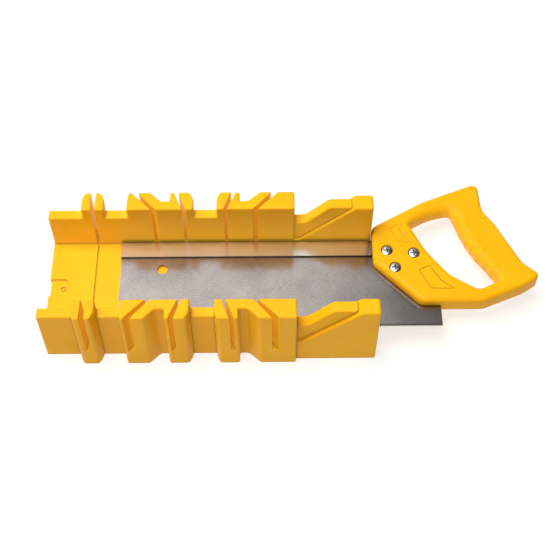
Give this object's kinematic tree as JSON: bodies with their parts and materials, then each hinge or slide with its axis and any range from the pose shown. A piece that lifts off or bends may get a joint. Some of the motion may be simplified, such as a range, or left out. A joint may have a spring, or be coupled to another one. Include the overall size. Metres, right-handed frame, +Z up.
{
  "type": "miter box with back saw",
  "caption": "Slotted plastic miter box for square, 22.5, 45 degree and bevel cuts, with a closed-handle back saw lying in its channel.",
  "frame": {"origin": "centre of the box's underside", "axes": "+X along the channel towards the saw handle, +Y across the channel towards the saw's spine, +Z up"},
  "size_m": [0.4596, 0.1752, 0.082],
  "materials": {
    "box_yellow": "satin moulded",
    "handle_yellow": "satin moulded",
    "blade_steel": "ground",
    "spine_steel": "bright",
    "screw_chrome": "bright"
  },
  "bodies": {
    "box": {"miter_box": "box_yellow"},
    "saw": {"saw_blade": "blade_steel", "saw_spine": "spine_steel", "saw_handle": "handle_yellow", "saw_screw_1": "screw_chrome", "saw_screw_2": "screw_chrome", "saw_screw_3": "screw_chrome", "saw_nut_1": "screw_chrome", "saw_nut_2": "screw_chrome", "saw_nut_3": "screw_chrome"}
  },
  "joints": [
    {"name": "saw_lift", "type": "slide", "parent": "box", "child": "saw", "axis": [0, 0, 1], "range_m": [0, 0.1]}
  ]
}
